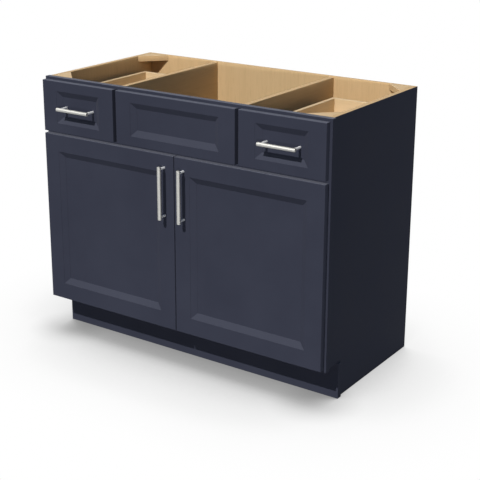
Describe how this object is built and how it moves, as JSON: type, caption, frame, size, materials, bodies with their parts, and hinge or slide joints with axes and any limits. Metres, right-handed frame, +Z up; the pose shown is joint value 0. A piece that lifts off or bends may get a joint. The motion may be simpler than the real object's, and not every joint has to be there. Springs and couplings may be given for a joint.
{
  "type": "vanity cabinet",
  "caption": "Floor-standing vanity base cabinet with hinged doors, sliding drawers, a fixed centre front, a toe kick and an open top for a sink.",
  "frame": {"origin": "on the floor, under the centre of the closed cabinet's bounding box, pulls included", "axes": "+X to the right as seen from the front, +Y to the wall behind, +Z up"},
  "size_m": [1.0668, 0.5872, 0.8763],
  "materials": {
    "navy_paint": "satin navy paint on wood and fibreboard",
    "natural_wood": "clear-coated pale birch plywood",
    "satin_nickel": "satin nickel plate",
    "plated_steel": "bright zinc plate",
    "grey_plastic": "moulded matte",
    "clear_pad": "clear soft pad"
  },
  "bodies": {
    "cabinet": {"back_corner_blocks": "natural_wood", "back_panel": "natural_wood", "bottom_panel": "natural_wood", "bumpers": "clear_pad", "false_front_clips": "grey_plastic", "false_front_frame": "navy_paint", "false_front_panel": "navy_paint", "frame_bottom_rail": "navy_paint", "frame_middle_rail": "navy_paint", "frame_top_rail": "navy_paint", "front_corner_blocks": "natural_wood", "hinge_arm_screws": "plated_steel", "left_cabinet_rails": "plated_steel", "left_frame_mullion": "navy_paint", "left_frame_stile": "navy_paint", "left_hinge_arms": "plated_steel", "left_partition": "natural_wood", "left_side_panel": "navy_paint", "right_cabinet_rails": "plated_steel", "right_frame_mullion": "navy_paint", "right_frame_stile": "navy_paint", "right_hinge_arms": "plated_steel", "right_partition": "natural_wood", "right_side_panel": "navy_paint", "slide_rear_sockets": "grey_plastic", "toe_kick_board": "navy_paint"},
    "left_door": {"left_door_frame": "navy_paint", "left_door_panel": "navy_paint", "left_door_pull": "satin_nickel", "left_door_screws": "plated_steel", "left_hinge_cups": "plated_steel", "left_hinge_pins": "plated_steel"},
    "right_door": {"right_door_frame": "navy_paint", "right_door_panel": "navy_paint", "right_door_pull": "satin_nickel", "right_door_screws": "plated_steel", "right_hinge_cups": "plated_steel", "right_hinge_pins": "plated_steel"},
    "left_drawer": {"left_drawer_front_frame": "navy_paint", "left_drawer_front_panel": "navy_paint", "left_drawer_pull": "satin_nickel", "left_drawer_screws": "plated_steel", "left_drawer_box_sides": "natural_wood", "left_drawer_box_front": "natural_wood", "left_drawer_box_back": "natural_wood", "left_drawer_box_bottom": "natural_wood", "left_drawer_rails": "plated_steel", "left_drawer_latches": "grey_plastic"},
    "right_drawer": {"right_drawer_front_frame": "navy_paint", "right_drawer_front_panel": "navy_paint", "right_drawer_pull": "satin_nickel", "right_drawer_screws": "plated_steel", "right_drawer_box_sides": "natural_wood", "right_drawer_box_front": "natural_wood", "right_drawer_box_back": "natural_wood", "right_drawer_box_bottom": "natural_wood", "right_drawer_rails": "plated_steel", "right_drawer_latches": "grey_plastic"},
    "left_middle_slide": {"left_middle_rails": "plated_steel"},
    "right_middle_slide": {"right_middle_rails": "plated_steel"}
  },
  "joints": [
    {"name": "left_door_hinge", "type": "hinge", "parent": "cabinet", "child": "left_door", "pos_m": [-0.51955, -0.25278, 0.4064], "axis": [0, 0, -1], "range_deg": [0, 95]},
    {"name": "left_drawer_slide", "type": "slide", "parent": "cabinet", "child": "left_drawer", "axis": [0, -1, 0], "range_m": [0, 0.432]},
    {"name": "left_middle_slide_run", "type": "slide", "parent": "cabinet", "child": "left_middle_slide", "axis": [0, -1, 0], "range_m": [0, 0.216]},
    {"name": "right_door_hinge", "type": "hinge", "parent": "cabinet", "child": "right_door", "pos_m": [0.51955, -0.25278, 0.4064], "axis": [0, 0, 1], "range_deg": [0, 95]},
    {"name": "right_drawer_slide", "type": "slide", "parent": "cabinet", "child": "right_drawer", "axis": [0, -1, 0], "range_m": [0, 0.432]},
    {"name": "right_middle_slide_run", "type": "slide", "parent": "cabinet", "child": "right_middle_slide", "axis": [0, -1, 0], "range_m": [0, 0.216]}
  ],
  "couplings": [
    {"joint": "left_middle_slide_run", "follows": "left_drawer_slide", "ratio": 0.5},
    {"joint": "right_middle_slide_run", "follows": "right_drawer_slide", "ratio": 0.5}
  ]
}
